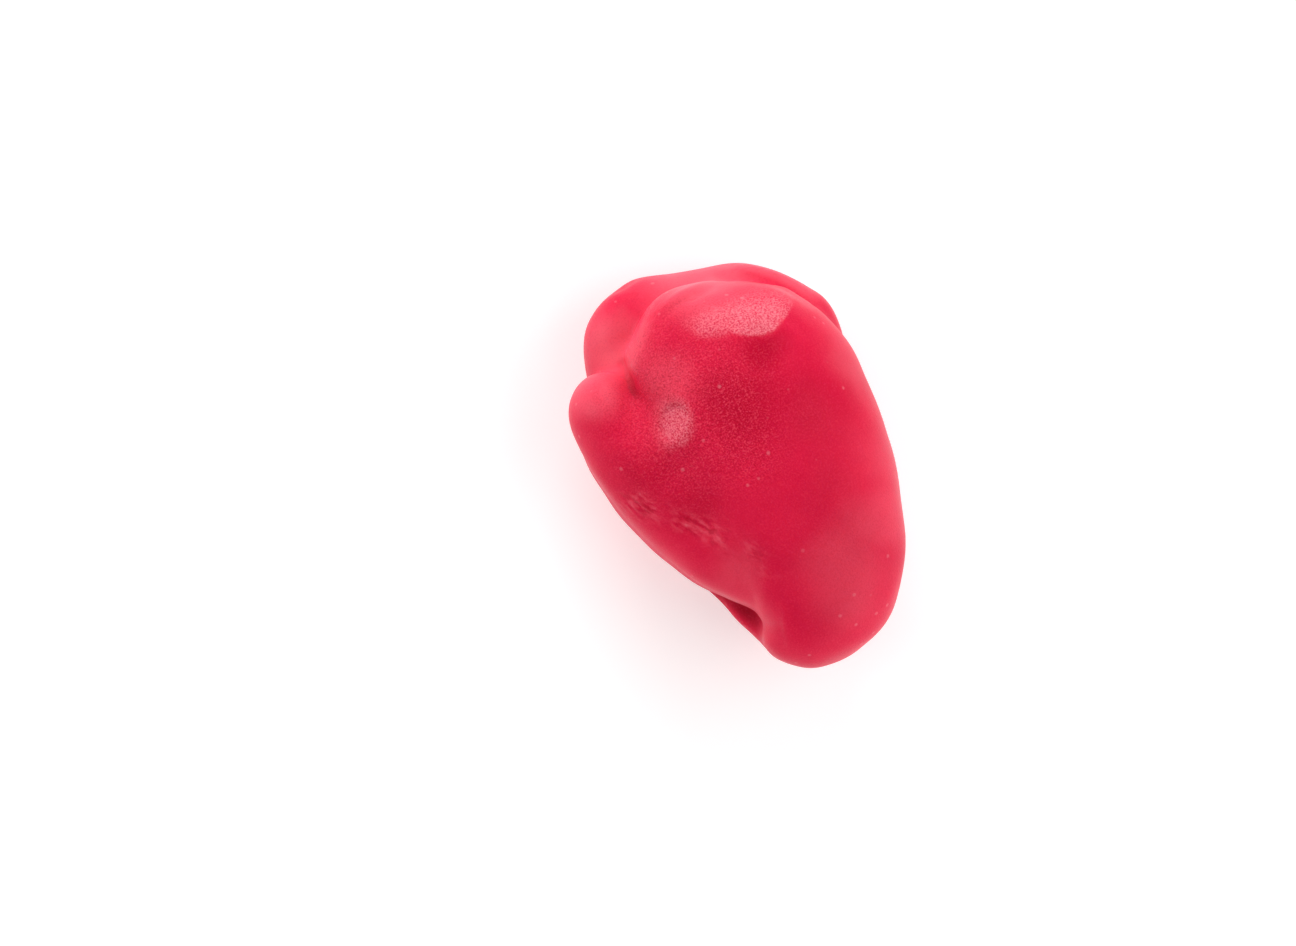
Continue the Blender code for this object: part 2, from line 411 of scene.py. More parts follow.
MARKS = (
    # the crest that the large flat is pressed into
    Mark(
        (
            (2.2, 9.3, 0.4), (3.4, 8.4, 0.9), (4.6, 7.5, 1.0), (5.7, 7.1, 1.0), (6.7, 7.5, 0.9),
            (7.3, 8.4, 0.5),
        ),
        width=1.4,
        depth=-0.40,
    ),
    # the dip and the rise on the left shoulder
    Mark(((-5.2, 8.2, 0.5), (-4.9, 7.2, 1.0), (-5.3, 6.2, 0.6)), 1.4, 0.28),
    Mark(((-4.6, 3.7, 0.6), (-3.6, 4.1, 1.0), (-2.6, 4.7, 1.0), (-1.8, 6.0, 0.5)), 1.2, -0.42),
    # the rise that bends from the large flat to the small one
    Mark(((0.9, 9.3, 0.3), (0.3, 8.0, 1.0), (-0.6, 6.8, 1.0), (-1.6, 6.0, 0.6)), 1.1, -0.22),
    # the border of the rolled edge, and the short crease beside the lip
    Mark(
        ((-8.9, 3.4, 0.2), (-8.3, 1.4, 0.8), (-6.6, -0.8, 1.0), (-5.0, -3.0, 1.0), (-3.0, -7.6, 0.2)),
        width=1.2,
        depth=0.25,
    ),
    Mark(((-4.3, 10.3, 1.0), (-4.4, 9.4, 1.0), (-4.65, 8.4, 0.8), (-4.6, 7.3, 0.2)), 0.4, 0.45),
)
FLATS = (
    PressedFlat(centre=(5.0, 8.4, 13.45), facing=(0.31, 0.51, 0.80), reach=3.2, edge=0.08),
    PressedFlat(centre=(-3.45, 4.9, 14.38), facing=(-0.44, 0.41, 0.80), reach=1.2, edge=0.06),
)
LOWER_FOLD_STEP = Mark(
    ((-7.4, -5.0, 0.3), (-6.6, -7.0, 0.8), (-5.9, -8.5, 1.0), (-5.6, -9.5, 0.7), (-5.7, -10.3, 0.0)),
    width=0.7,
    depth=0.7,
)
LOWER_FOLD_VALLEY = Mark(((-0.9, 15.2, 0.0), (-1.4, 14.0, 0.7), (-2.6, 11.6, 1.0)), 1.3, 0.8)

# how far the fold's middle level is bent up and down, and the waves that bend it
BENDS = ((0.6, Wave((0.42, 0.16, 0.0), 0.4)), (0.4, Wave((0.0, 0.31, 0.0), -0.9)))
BENT_FROM_BELOW: Point2 = (0.5, 4.5)
BENT_FROM_ABOVE: Point2 = (14.5, 9.5)

# the unevenness of the paste: its height, and the two waves whose product shapes it
LUMPS = (
    (0.10, Wave((0.55, 0.30, 0.0), 0.8), Wave((0.0, 0.41, -0.50), 2.0)),
    (0.05, Wave((1.10, -0.70, 0.60), 0.0), Wave((0.0, 0.90, 0.80), 1.0)),
)

# heights between which the marks from above fade in, on the top and on the folded sides
TOP_FADE: Point2 = (7.5, 9.5)
SIDE_FADE: Point2 = (3.5, 5.5)


@dataclass(frozen=True)
class Patch:
    """A patch pressed smooth, where a highlight is painted: its centre and radii from above, its turn in
    degrees, and its softness.

    Before the turn, its edge fades over near_edge towards -Y and over far_edge towards +Y, in shares
    of the radii.
    """

    centre: Point2
    radii: Point2
    turn: float
    near_edge: float
    far_edge: float
    strength: float = 1.0
    ragged: tuple[Bumps, ...] = (Bumps(0.10, 0.7, 7), Bumps(0.05, 0.3, 8))
    edge_change: Point2 = (-0.3, 0.6)

    def at(self, points: np.ndarray) -> np.ndarray:
        """How strongly each point belongs to the patch.

        Args:
            points: Places in millimetres.

        Returns:
            The strength on the patch, fading to 0 over a ragged edge.
        """
        angle = math.radians(self.turn)
        away = points[:, :2] - np.array(self.centre)
        along = away @ np.array((math.cos(angle), math.sin(angle))) / self.radii[0]
        across = away @ np.array((-math.sin(angle), math.cos(angle))) / self.radii[1]
        level = np.hypot(along, across)
        for bumps in self.ragged:
            level = level + bumps.at(points)
        edge = self.near_edge + (self.far_edge - self.near_edge) * smoothstep(*self.edge_change, across)
        return self.strength * smoothstep(0.5, -0.5, (level - 1.0) / (2.0 * edge))


@dataclass(frozen=True)
class Spot:
    """A soft round patch: its centre from above, its reach in millimetres and its strength."""

    centre: Point2
    reach: float
    strength: float
    full_within: float = 0.2

    def at(self, points: np.ndarray, wander: np.ndarray) -> np.ndarray:
        """The spot's strength at each point, with its edge moved by the wander."""
        away = np.linalg.norm(points[:, :2] - np.array(self.centre), axis=1) + wander
        return self.strength * smoothstep(self.reach, self.full_within * self.reach, away)


@dataclass(frozen=True)
class Spots:
    """Soft round patches that run together, and the bumps that move their edges."""

    spots: tuple[Spot, ...]
    wander: Bumps

    def at(self, points: np.ndarray) -> np.ndarray:
        """How strongly each point is covered.

        Args:
            points: Places in millimetres.

        Returns:
            From 0 to 1 for each point.
        """
        wander = self.wander.at(points)
        found = np.zeros(len(points))
        for spot in self.spots:
            found = np.maximum(found, spot.at(points, wander))
        return found


@dataclass(frozen=True)
class Relief:
    """The small marks that the solid leaves out, and the masks that the finish reads.

    The border, the shade painted in the crease under the rolled edge, and the notch, where shade is painted
    beside the lip, are read as masks, so their depth is their strength.
    """

    border: Mark = Mark(
        (
            (-8.7, 2.4, 0.6), (-8.1, 1.2, 1.0), (-6.3, -1.2, 1.0), (-4.9, -3.2, 1.0), (-3.3, -6.2, 1.0),
            (-3.0, -7.4, 0.0),
        ),
        width=0.7,
        depth=1.0,
    )
    # the crease under the rolled edge, where shade is painted
    painted_crease_shade: Mark = Mark(
        ((-7.9, -4.2, 0.5), (-7.0, -6.1, 0.8), (-6.2, -7.7, 1.0), (-5.6, -9.2, 0.9), (-5.3, -10.6, 0.2)),
        width=0.75,
        depth=1.0,
    )
    # the notch beside the lip, where shade is painted too
    notch: Mark = Mark(
        ((-4.2, 10.3, 0.0), (-4.35, 9.5, 0.4), (-4.65, 8.4, 0.45), (-4.55, 7.4, 0.0)),
        width=0.2,
        depth=1.0,
    )
    # the patches pressed smooth, where highlights are painted
    patches: tuple[Patch, ...] = (
        Patch((5.1, 8.45), (2.35, 1.4), -14.0, 0.08, 0.6),
        Patch((2.7, 9.3), (1.9, 0.9), -22.0, 0.45, 0.6, 0.85),
        Patch((-3.4, 4.9), (1.5, 1.15), 60.0, 0.35, 0.7, 1.0),
    )
    ledges: tuple[Mark, ...] = (
        # the roll along the dome's left border
        Mark(
            ((-0.9, 12.2, 0.3), (-1.8, 11.5, 1.0), (-2.8, 10.6, 1.0), (-3.8, 9.7, 1.0), (-4.1, 9.2, 0.4)),
            width=0.45,
            depth=-0.14,
        ),
        # the ledges along the rear rim, and the notch between them
        Mark(((-0.5, 12.1, 0.3), (1.0, 12.3, 1.0), (2.4, 12.2, 1.0), (3.8, 12.0, 0.4)), 0.3, -0.18),
        Mark(
            ((5.0, 12.1, 0.4), (6.5, 11.4, 1.0), (7.7, 10.2, 1.0), (8.8, 8.6, 1.0), (9.3, 7.2, 0.4)),
            width=0.35,
            depth=-0.22,
        ),
        Mark(((7.7, 9.5, 0.3), (8.3, 8.6, 1.0), (8.8, 7.4, 0.6)), 0.3, -0.14),
        Mark(((4.2, 12.5, 0.4), (4.5, 12.1, 1.0), (4.9, 11.6, 0.4)), 0.3, 0.16),
        # the grooves in front of the ledges
        Mark(((-0.4, 11.5, 0.3), (1.0, 11.75, 1.0), (2.4, 11.65, 1.0), (3.7, 11.5, 0.4)), 0.25, 0.12),
        Mark(
            ((4.9, 11.5, 0.4), (6.1, 10.95, 1.0), (7.2, 9.8, 1.0), (8.2, 8.3, 1.0), (8.7, 7.0, 0.4)),
            width=0.25,
            depth=0.14,
        ),
        # the cracks on the right side
        Mark(((6.7, 3.5, 0.3), (7.3, 3.75, 1.0), (7.9, 3.95, 0.4)), 0.16, 0.08),
        Mark(((6.2, 8.1, 0.3), (7.0, 6.6, 1.0), (7.3, 5.4, 0.3)), 0.35, 0.05),
        # the cut edge of the crease beside the lip, and the thin ridge in it
        Mark(((-4.2, 10.3, 0.3), (-4.35, 9.4, 1.0), (-4.65, 8.4, 1.0), (-4.5, 7.4, 0.2)), 0.2, 0.12),
        Mark(((-5.15, 9.9, 0.3), (-5.0, 9.4, 1.0), (-4.9, 8.9, 1.0), (-4.85, 8.4, 0.3)), 0.16, -0.12),
    )
    # painted light: paler patches where the lamps fall most
    painted_light_spots: Spots = Spots(
        (
            Spot((8.5, -4.5), 5.0, 0.25),
            Spot((5.5, -8.5), 4.0, 0.45),
            Spot((1.5, -10.5), 5.0, 0.40),
            Spot((-5.2, -5.5), 2.6, 0.35),
            Spot((9.0, 2.5), 2.5, 0.25),
            Spot((-6.9, 9.2), 2.8, 0.60),
            Spot((3.5, 14.2), 6.2, 1.00),
            Spot((9.2, 8.0), 2.4, 0.40),
            Spot((-4.8, 12.0), 3.8, 0.80),
            Spot((-2.2, 7.6), 3.0, 0.35),
        ),
        wander=Bumps(0.8, 2.5, 9),
    )
    # painted shade: darker patches where less light falls
    painted_shade_spots: Spots = Spots(
        (
            Spot((4.0, 6.0), 2.8, 1.0),
            Spot((1.5, 3.5), 4.5, 0.8),
            Spot((-5.2, -1.0), 2.4, 0.6),
            Spot((-7.0, 3.4), 2.6, 0.4),
            Spot((6.0, 1.0), 5.5, 0.5),
            Spot((4.0, -3.5), 4.0, 0.3),
        ),
        wander=Bumps(0.8, 2.5, 10),
    )
    unevenness: tuple[Bumps, ...] = (Bumps(0.02, 2.6, 1), Bumps(0.01, 1.1, 2))
    wrinkle_way: Point2 = (4.8, -7.4)
    wrinkle_bumps: Bumps = Bumps(1.0, 0.45, 3)
    wrinkle_height: float = 0.18
    wrinkle_crest: float = 0.4
    wrinkle_shortening: float = 0.65
    clusters: Bumps = Bumps(1.0, 1.4, 4)
    cluster_span: Point2 = (-0.7, 0.3)
    pressed_fade: Point2 = (9.0, 11.0)
    painted_crease_shade_fade: Point2 = (9.4, 8.2)
    grain_centre: Point2 = (-2.0, 5.0)
    grain_reach: Point2 = (9.5, 2.0)
    grain_wander: Bumps = Bumps(1.5, 3.0, 5)
    grain_fade: Point2 = (9.0, 12.5)
    # how strongly highlights are painted on the ledges and the wrinkles' crests
    ledge_highlight: float = 4.0
    wrinkle_highlight: float = 5.0
    most_raised: float = 0.8

    def height(self, points: np.ndarray) -> np.ndarray:
        """How far the fine relief lifts the skin at each point, in millimetres."""
        uneven = sum(bumps.at(points) for bumps in self.unevenness)
        return uneven + self.lifted(points) + self.wrinkles(points)

    def lifted(self, points: np.ndarray) -> np.ndarray:
        """How far the ledges rise and the grooves sink at each point, in millimetres."""
        return -sum(ledge.at(points) for ledge in self.ledges) * smoothstep(*SIDE_FADE, points[:, 2])

    def wrinkles(self, points: np.ndarray) -> np.ndarray:
        """The short wrinkles that run along the border.

        Args:
            points: Places in millimetres.

        Returns:
            Their height for each point.
        """
        along = np.array(self.wrinkle_way) / np.hypot(*self.wrinkle_way)
        drawn_out = points.copy()
        drawn_out[:, :2] -= self.wrinkle_shortening * np.outer(points[:, :2] @ along, along)
        ridge = self.wrinkle_crest - np.abs(self.wrinkle_bumps.at(drawn_out))
        return self.wrinkle_height * self.wrinkled(points) * ridge

    def wrinkled(self, points: np.ndarray) -> np.ndarray:
        """1 in the clusters of wrinkles along the border of the rolled edge, fading to 0 around them."""
        clustered = smoothstep(*self.cluster_span, self.clusters.at(points))
        return self.border.at(points) * smoothstep(*TOP_FADE, points[:, 2]) * clustered

    def pressed(self, points: np.ndarray) -> np.ndarray:
        """1 on the patches that were pressed smooth, where highlights are painted, with ragged edges."""
        found = np.max([patch.at(points) for patch in self.patches], axis=0)
        return found * smoothstep(*self.pressed_fade, points[:, 2])

    def grain(self, points: np.ndarray) -> np.ndarray:
        """How coarse the skin's grain is.

        Args:
            points: Places in millimetres.

        Returns:
            From 0 to 1 for each point.
        """
        away = np.linalg.norm(points[:, :2] - np.array(self.grain_centre), axis=1)
        away += self.grain_wander.at(points)
        return smoothstep(*self.grain_reach, away) * smoothstep(*self.grain_fade, points[:, 2])

    def bloom(self, points: np.ndarray) -> np.ndarray:
        """How much paler the skin is painted: painted light in patches where the lamps fall, and painted
        highlights on every small rise.

        Args:
            points: Places in millimetres.

        Returns:
            From 0 to 1 for each point.
        """
        raised = self.ledge_highlight * self.lifted(points) + self.wrinkle_highlight * self.wrinkles(points)
        return np.maximum(self.painted_light_spots.at(points), np.clip(raised, 0.0, self.most_raised))

    def crease(self, points: np.ndarray) -> np.ndarray:
        """1 where shade is painted: in the crease under the rolled edge and in the notch beside the lip,
        fading to 0.
        """
        under = self.painted_crease_shade.at(points) * smoothstep(*self.painted_crease_shade_fade, points[:, 2])
        return np.maximum(under, self.notch.at(points))

    def masks(self, points: np.ndarray) -> dict[SkinMask, np.ndarray]:
        """The masks that the finish reads.

        Args:
            points: Places in millimetres.

        Returns:
            A value from 0 to 1 for each point, by mask.
        """
        return {
            SkinMask.PAINTED_LIGHT: self.bloom(points),
            SkinMask.PAINTED_SHADE: self.painted_shade_spots.at(points),
            SkinMask.PAINTED_CREASE_SHADE: self.crease(points),
            SkinMask.PRESSED_AND_HIGHLIGHT: self.pressed(points),
            SkinMask.GRAIN: self.grain(points),
            SkinMask.BORDER: self.wrinkled(points),
        }


@dataclass
class Candy:
    """The whole lump: its lobes run together, marked and pressed, then skinned with a fine mesh."""

    name: str = "sugar_lump"
    spread: Point3 = (10.0, 15.0, 7.8)
    heart: Point3 = (-3.2, 0.6, 7.4)
    farthest: float = 20.0
    nearest: float = 3.0
    step: float = 0.25
    halvings: int = 22
    cuts: int = 30
    levels: int = 2
    evening_rounds: int = 30
    settling_rounds: int = 3
    least_slope: float = 0.2
    longest_move: float = 0.5
    tail_blend: float = 0.9
    middle_blend: float = 0.8
    lip: Lip = field(default_factory=Lip)
    tail: Tail = field(default_factory=Tail)
    relief: Relief = field(default_factory=Relief)

    @staticmethod
    def bent(points: np.ndarray) -> np.ndarray:
        """Makes the fold's middle level wavy.

        Args:
            points: Any points, in millimetres.

        Returns:
            The points at the heights they would have if the level were flat.
        """
        x, y, z = points.T
        wave = sum(height * bend.at(points) for height, bend in BENDS)
        middle = smoothstep(*BENT_FROM_BELOW, z) * smoothstep(*BENT_FROM_ABOVE, z)
        return np.column_stack([x, y, z - wave * middle])

    @staticmethod
    def lumps(points: np.ndarray) -> np.ndarray:
        """The slight unevenness of hand-worked paste."""
        return sum(height * (first.at(points) * second.at(points)) for height, first, second in LUMPS)

    def folds(self, points: np.ndarray) -> np.ndarray:
        """The two folds, the lip, the tail and the mass that joins them.

        Args:
            points: Places in millimetres.

        Returns:
            Signed distance from their joined skin for each point.
        """
        warped = self.bent(points)
        x, y, z = points.T
        beside = smoothstep(9.6, 5.0, y) * smoothstep(-12.5, -4.0, y)
        run_in = 0.3 + 3.6 * beside + 1.8 * smoothstep(10.0, 8.2, z)
        left = smoothstep(-2.5, -5.5, x) * smoothstep(-6.5, -3.0, y)
        rear = smoothstep(3.0, 6.0, x) * smoothstep(2.0, 6.0, y)
        crease = 0.5 + 1.2 * left + 0.7 * rear + 2.4 * smoothstep(-9.2, -11.5, y)
        upper = smooth_min(UPPER_FOLD.skin(warped), self.lip.skin(warped), run_in)
        valleys = LOWER_FOLD_VALLEY.at(points) + LOWER_FOLD_STEP.at(points)
        lower = LOWER_FOLD.skin(warped) + valleys * smoothstep(*SIDE_FADE, z)
        lower = smooth_min(lower, self.tail.skin(warped), self.tail_blend)
        return smooth_min(smooth_min(upper, lower, crease), MIDDLE.skin(warped), self.middle_blend)

    def skin(self, points: np.ndarray) -> np.ndarray:
        """The folds with their unevenness, their marks and the pressed flats.

        Args:
            points: Places in millimetres.

        Returns:
            Signed distance from the lump's skin for each point.
        """
        body = self.folds(points) + self.lumps(points)
        top = smoothstep(*TOP_FADE, points[:, 2])
        body = body + top * sum(mark.at(points) for mark in MARKS)
        for flat in FLATS:
            body = flat.cut(body, points)
        return body

    def outermost(self, directions: np.ndarray) -> np.ndarray:
        """Finds where each direction from the heart meets the skin, coming in from outside.

        Args:
            directions: Unit vectors, one a row.

        Returns:
            The points found, one a row.
        """
        heart = np.array(self.heart)
        far = np.full(len(directions), self.farthest)
        outside = np.ones(len(directions), bool)
        while outside.any() and far.max() > self.nearest:
            outside &= self.skin(heart + directions * (far - self.step)[:, None]) > 0.0
            far = np.where(outside, far - self.step, far)
        near = far - self.step
        for _ in range(self.halvings):
            half = 0.5 * (near + far)
            inside = self.skin(heart + directions * half[:, None]) < 0.0
            near = np.where(inside, half, near)
            far = np.where(inside, far, half)
        return heart + directions * near[:, None]

    def slope(self, points: np.ndarray, reach: float = 0.02) -> np.ndarray:
        """The skin's gradient at each point, which faces out."""
        sides = [self.skin(points + axis) - self.skin(points - axis) for axis in reach * np.eye(3)]
        return np.column_stack(sides) / (2.0 * reach)

    def settled(self, points: np.ndarray) -> np.ndarray:
        """Moves points straight onto the skin nearest them.

        Args:
            points: Points near the skin.

        Returns:
            The points on the skin.
        """
        for _ in range(self.settling_rounds):
            slope = self.slope(points)
            size = np.maximum((slope**2).sum(axis=1), self.least_slope)
            move = np.clip(self.skin(points) / size, -self.longest_move, self.longest_move)
            points = points - move[:, None] * slope
        return points

    def evened(self, points: np.ndarray, edges: np.ndarray) -> np.ndarray:
        """Spreads points evenly over the skin, so that the creases are cut clean.

        Args:
            points: Points on the skin.
            edges: The two point numbers of each edge between them.

        Returns:
            The points, each close to the middle of its neighbours.
        """
        count = np.bincount(edges.ravel(), minlength=len(points))[:, None]
        for _ in range(self.evening_rounds):
            total = np.zeros_like(points)
            for start, end in (edges.T, edges.T[::-1]):
                for axis in range(3):
                    total[:, axis] += np.bincount(start, points[end, axis], minlength=len(points))
            points = self.settled(0.5 * (points + total / count))
        return points

    @staticmethod
    def read(shape: bmesh.types.BMesh) -> tuple[np.ndarray, np.ndarray]:
        """Reads a bmesh into arrays.

        Args:
            shape: The bmesh.

        Returns:
            Its points, and the two point numbers of each edge.
        """
        shape.verts.index_update()
        points = np.array([vertex.co[:] for vertex in shape.verts])
        edges = np.array([[vertex.index for vertex in edge.verts] for edge in shape.edges])
        return points, edges

    def coarse(self) -> bpy.types.Mesh:
        """Lays a subdivided cube evenly on the skin.

        Returns:
            The mesh, in millimetres.
        """
        shape = bmesh.new()
        bmesh.ops.create_cube(shape, size=2.0)
        bmesh.ops.subdivide_edges(shape, edges=shape.edges[:], cuts=self.cuts, use_grid_fill=True)
        corners, edges = self.read(shape)
        even = np.tan(corners * np.pi / 4.0) * np.array(self.spread)
        points = self.outermost(even / np.linalg.norm(even, axis=1, keepdims=True))
        for vertex, place in zip(shape.verts, self.evened(points, edges)):
            vertex.co = place
        bmesh.ops.recalc_face_normals(shape, faces=shape.faces[:])
        mesh = bpy.data.meshes.new(self.name)
        shape.to_mesh(mesh)
        shape.free()
        return mesh

    def fine(self) -> bpy.types.Mesh:
        """Splits the coarse mesh's faces with a subdivision surface.

        Returns:
            The mesh, in millimetres.
        """
        cage = bpy.data.objects.new(self.name + "_cage", self.coarse())
        bpy.context.scene.collection.objects.link(cage)
        smoothing = cage.modifiers.new("smoothing", "SUBSURF")
        smoothing.levels = self.levels
        view = bpy.context.evaluated_depsgraph_get()
        mesh = bpy.data.meshes.new_from_object(cage.evaluated_get(view))
        bpy.data.objects.remove(cage)
        mesh.name = self.name
        return mesh

    @staticmethod
    def fitted(points: np.ndarray) -> np.ndarray:
        """Flattens the lump where it rests and sizes it to the solid's box.

        Args:
            points: The lump's points, in millimetres.

        Returns:
            The points, moved.
        """
        resting = points.copy()
        resting[:, 2] = np.maximum(points[:, 2], 0.0)
        box_low, box_high = (np.array(corner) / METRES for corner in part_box(NODE))
        low = resting.min(axis=0)
        high = resting.max(axis=0)
        return box_low + (resting - low) * ((box_high - box_low) / (high - low))

    def build(self) -> bpy.types.Object:
        """Makes the lump's mesh, with its finish's masks as attributes.

        Returns:
            The lump.
        """
        mesh = self.fine()
        places = np.empty(3 * len(mesh.vertices))
        mesh.vertices.foreach_get("co", places)
        points = self.settled(places.reshape(-1, 3))
        slope = self.slope(points)
        normals = slope / np.linalg.norm(slope, axis=1, keepdims=True)
        lifted = self.fitted(points + normals * self.relief.height(points)[:, None])
        mesh.vertices.foreach_set("co", (lifted * METRES).ravel())
        mesh.update()
        mesh.shade_smooth()
        for mask, values in self.relief.masks(points).items():
            layer = mesh.attributes.new(mask.value, "FLOAT", "POINT")
            layer.data.foreach_set("value", values.astype(np.float32))
        lump = bpy.data.objects.new(self.name, mesh)
        bpy.context.scene.collection.objects.link(lump)
        return lump


# ---------------------------------------------------------------- finishes


class Tree:
    """A material's nodes, laid out by short calls."""

    def __init__(self, material: bpy.types.Material) -> None:
        """Takes over a material's node tree.

        Args:
            material: A new material.
        """
        material.use_nodes = True
        self.tree = material.node_tree
        self.shader = self.tree.nodes["Principled BSDF"]

    def put(self, value: object, socket: Socket) -> None:
        """Links a socket's output, or sets a constant, on an input.

        Args:
            value: The socket or the constant.
            socket: The input.
        """
        if isinstance(value, Socket):
            self.tree.links.new(value, socket)
        else:
            socket.default_value = value

    def finish(self, **inputs: object) -> None:
        """Sets the shader's inputs, by name with _ for a space."""
        for name, value in inputs.items():
            self.put(value, self.shader.inputs[name.replace("_", " ")])

    def where(self) -> Socket:
        """The place on the piece, in metres."""
        return self.tree.nodes.new("ShaderNodeTexCoord").outputs["Object"]

    def mask(self, mask: SkinMask) -> Socket:
        """Reads one of the mesh's masks.

        Args:
            mask: Which one.

        Returns:
            Its value, from 0 to 1.
        """
        node = self.tree.nodes.new("ShaderNodeAttribute")
        node.attribute_name = mask.value
        return node.outputs["Fac"]

    def drawn_out(self, bearing: float, stretch: float) -> Socket:
        """Draws the place on the piece out along a bearing.

        Args:
            bearing: The bearing from above, in radians.
            stretch: How many times longer patterns get along it.

        Returns:
            The place, in metres.
        """
        node = self.tree.nodes.new("ShaderNodeMapping")
        node.vector_type = "TEXTURE"
        node.inputs["Rotation"].default_value = (0.0, 0.0, bearing)
        node.inputs["Scale"].default_value = (stretch, 1.0, 1.0)
        self.put(self.where(), node.inputs["Vector"])
        return node.outputs["Vector"]

    def noise(self, cell: float, detail: float, place: Socket | None = None) -> Socket:
        """Makes cloudy noise.

        Args:
            cell: Its cell size, in metres.
            detail: How many finer layers it has.
            place: Where it is read, if not at the place on the piece.

        Returns:
            The noise, from 0 to 1.
        """
        node = self.tree.nodes.new("ShaderNodeTexNoise")
        node.inputs["Scale"].default_value = 1.0 / cell
        node.inputs["Detail"].default_value = detail
        self.put(place or self.where(), node.inputs["Vector"])
        return node.outputs["Fac"]

    def specks(self, cell: float) -> tuple[Socket, Socket]:
        """Scatters points over the piece.

        Args:
            cell: The distance between them, in metres.

        Returns:
            The distance from the nearest, in cells, and its random colour.
        """
        node = self.tree.nodes.new("ShaderNodeTexVoronoi")
        node.inputs["Scale"].default_value = 1.0 / cell
        self.put(self.where(), node.inputs["Vector"])
        return node.outputs["Distance"], node.outputs["Color"]

    def span(self, value: Socket, start: float, end: float, low: object = 0.0, high: object = 1.0) -> Socket:
        """Turns a value's rise from start to end into a rise from low to high.

        Args:
            value: The value.
            start: Where it gives low.
            end: Where it gives high.
            low: A constant or a socket.
            high: A constant or a socket.

        Returns:
            The new value.
        """
        node = self.tree.nodes.new("ShaderNodeMapRange")
        given = {"Value": value, "From Min": start, "From Max": end, "To Min": low, "To Max": high}
        for name, setting in given.items():
            self.put(setting, node.inputs[name])
        return node.outputs["Result"]

    def math(self, operation: Operation, first: object, second: object) -> Socket:
        """Puts two values together.

        Args:
            operation: How.
            first: A constant or a socket.
            second: A constant or a socket.

        Returns:
            The result.
        """
        node = self.tree.nodes.new("ShaderNodeMath")
        node.operation = operation.value
        self.put(first, node.inputs[0])
        self.put(second, node.inputs[1])
        return node.outputs["Value"]

    def times(self, first: object, second: object) -> Socket:
        """The product of two values."""
        return self.math(Operation.MULTIPLY, first, second)

    def blend(self, factor: object, base: object, top: object) -> Socket:
        """Lays one colour over another.

        Args:
            factor: How much of the top colour shows, from 0 to 1.
            base: The colour below.
            top: The colour above.

        Returns:
            The blended colour.
        """
        node = self.tree.nodes.new("ShaderNodeMix")
        node.data_type = "RGBA"
        sockets = {socket.identifier: socket for socket in node.inputs}
        self.put(factor, sockets["Factor_Float"])
        self.put(base, sockets["A_Color"])
        self.put(top, sockets["B_Color"])
        return next(socket for socket in node.outputs if socket.identifier == "Result_Color")

    def bump(self, height: Socket, depth: float) -> Socket:
        """Tilts the surface's normal over a height.

        Args:
            height: The height, from 0 to 1.
            depth: What 1 stands for, in metres.

        Returns:
            The normal.
        """
        node = self.tree.nodes.new("ShaderNodeBump")
        node.inputs["Distance"].default_value = depth
        self.put(height, node.inputs["Height"])
        return node.outputs["Normal"]


